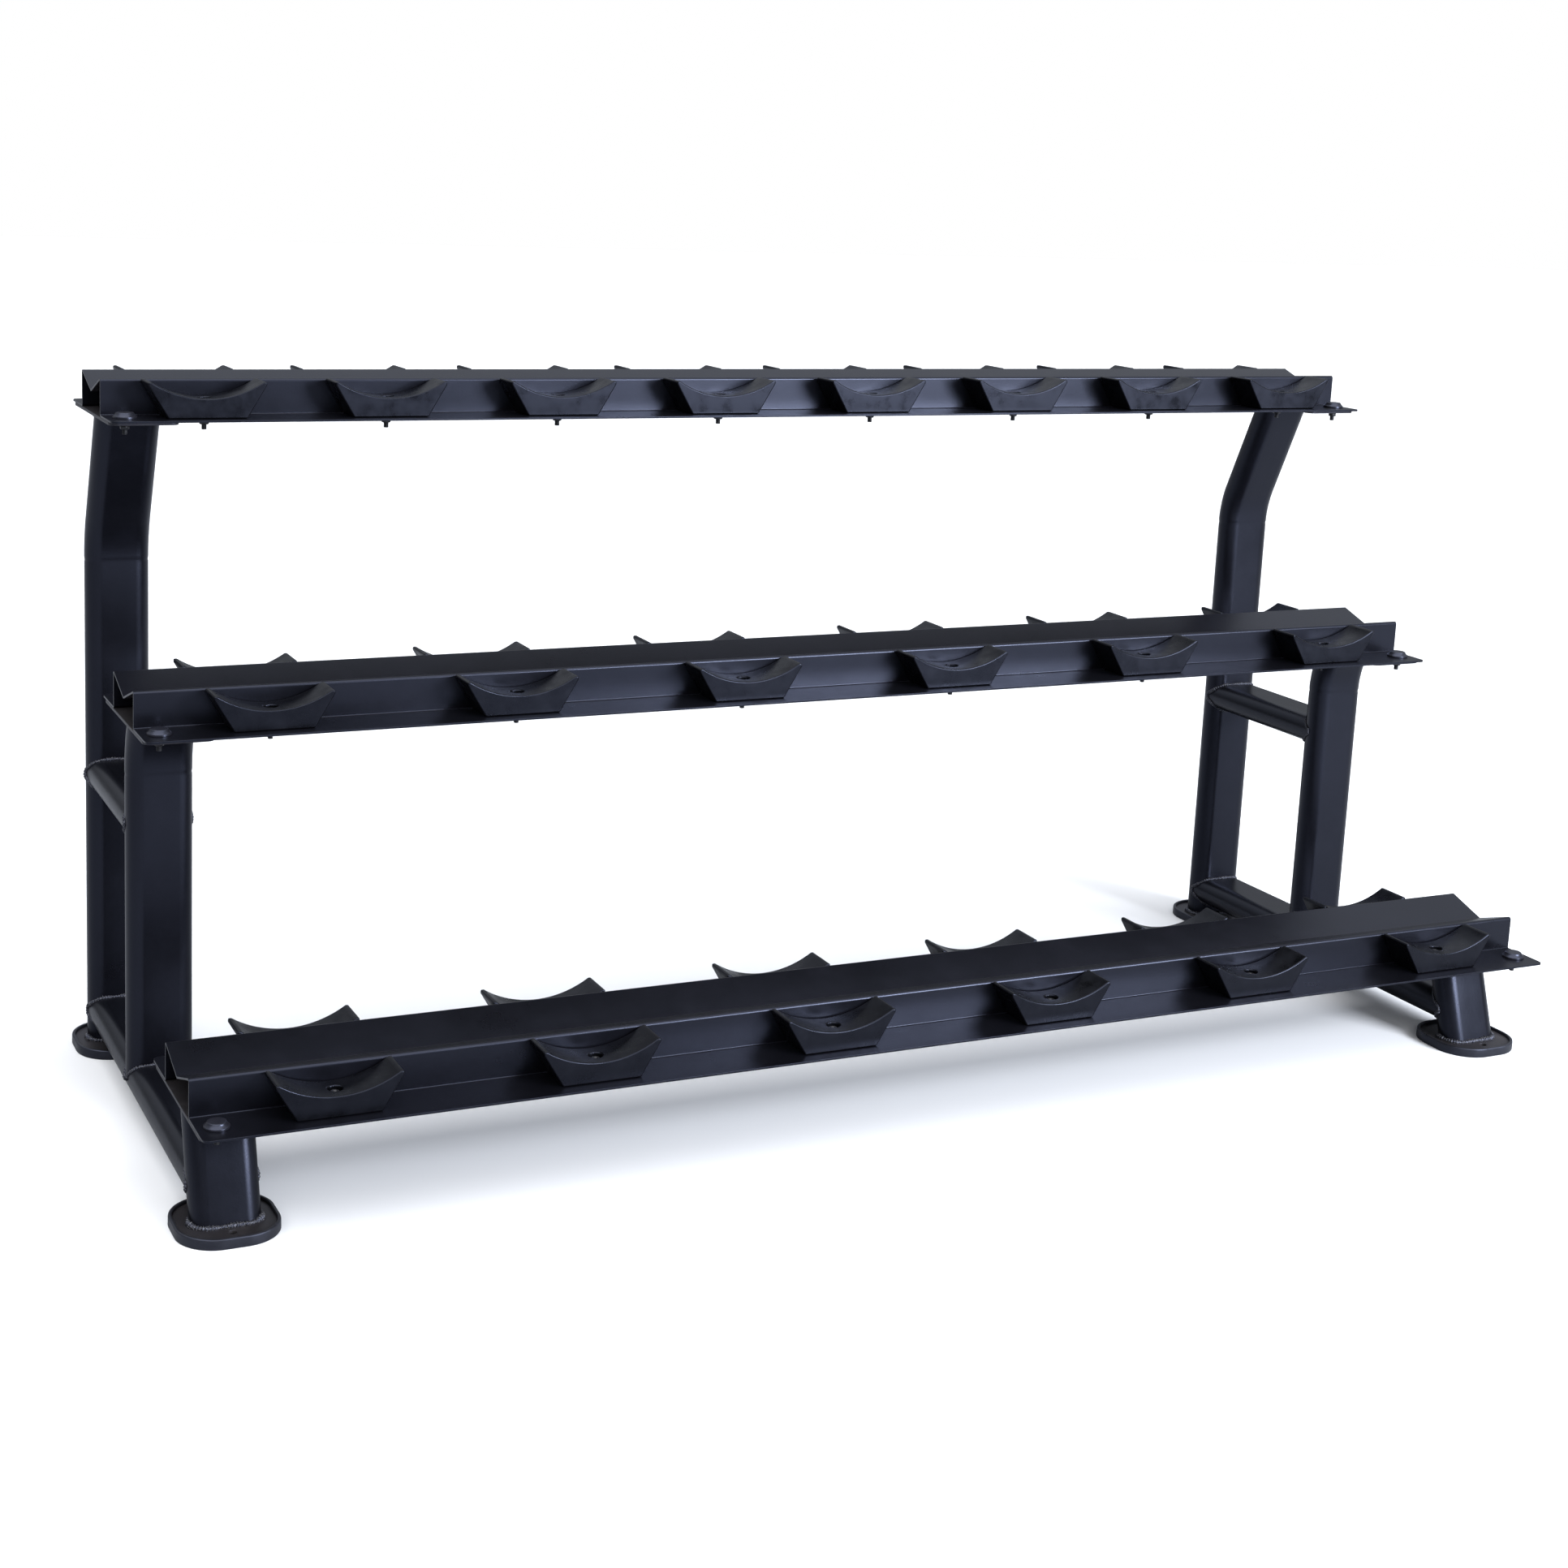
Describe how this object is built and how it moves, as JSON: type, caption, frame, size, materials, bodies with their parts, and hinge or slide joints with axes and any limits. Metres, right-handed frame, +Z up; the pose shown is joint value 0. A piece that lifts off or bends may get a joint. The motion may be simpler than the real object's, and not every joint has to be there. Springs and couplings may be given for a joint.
{
  "type": "dumbbell rack",
  "caption": "Three-tier dumbbell rack with bent flat-oval side frames, folded steel shelves and pairs of curved rubber saddles.",
  "frame": {"origin": "on the floor, at the middle of the bottom of the bounding box", "axes": "+X along the shelves to the viewer's right, -Y out of the front, +Z up"},
  "size_m": [2.337, 0.912, 1.1097],
  "materials": {
    "powder_coat": "satin",
    "coated_plate": "satin",
    "saddle_rubber": "matte",
    "pad_rubber": "satin",
    "bolt_head": "satin",
    "dark_zinc": "satin"
  },
  "bodies": {
    "root": {"left_rear_upright": "powder_coat", "right_rear_upright": "powder_coat", "left_middle_upright": "powder_coat", "right_middle_upright": "powder_coat", "left_front_post": "powder_coat", "right_front_post": "powder_coat", "left_base_rail": "powder_coat", "right_base_rail": "powder_coat", "left_upper_brace": "powder_coat", "right_upper_brace": "powder_coat", "left_lower_shelf_plate": "coated_plate", "right_lower_shelf_plate": "coated_plate", "left_middle_shelf_plate": "coated_plate", "right_middle_shelf_plate": "coated_plate", "left_top_shelf_plate": "coated_plate", "right_top_shelf_plate": "coated_plate", "left_front_foot_plate": "coated_plate", "right_front_foot_plate": "coated_plate", "left_rear_foot_plate": "coated_plate", "right_rear_foot_plate": "coated_plate", "left_front_foot_pad": "pad_rubber", "right_front_foot_pad": "pad_rubber", "left_rear_foot_pad": "pad_rubber", "right_rear_foot_pad": "pad_rubber", "lower_shelf": "powder_coat", "middle_shelf": "powder_coat", "top_shelf": "powder_coat", "lower_saddles_1": "saddle_rubber", "lower_saddles_2": "saddle_rubber", "lower_saddles_3": "saddle_rubber", "lower_saddles_4": "saddle_rubber", "lower_saddles_5": "saddle_rubber", "lower_saddles_6": "saddle_rubber", "middle_saddles_1": "saddle_rubber", "middle_saddles_2": "saddle_rubber", "middle_saddles_3": "saddle_rubber", "middle_saddles_4": "saddle_rubber", "middle_saddles_5": "saddle_rubber", "middle_saddles_6": "saddle_rubber", "top_saddles_1": "saddle_rubber", "top_saddles_2": "saddle_rubber", "top_saddles_3": "saddle_rubber", "top_saddles_4": "saddle_rubber", "top_saddles_5": "saddle_rubber", "top_saddles_6": "saddle_rubber", "top_saddles_7": "saddle_rubber", "top_saddles_8": "saddle_rubber", "lower_shelf_bolts": "bolt_head", "middle_shelf_bolts": "bolt_head", "top_shelf_bolts": "bolt_head", "shelf_bolt_washers": "dark_zinc", "shelf_bolt_nuts": "dark_zinc", "saddle_screws": "dark_zinc", "saddle_screw_washers": "dark_zinc", "saddle_screw_nuts": "dark_zinc"}
  },
  "joints": []
}
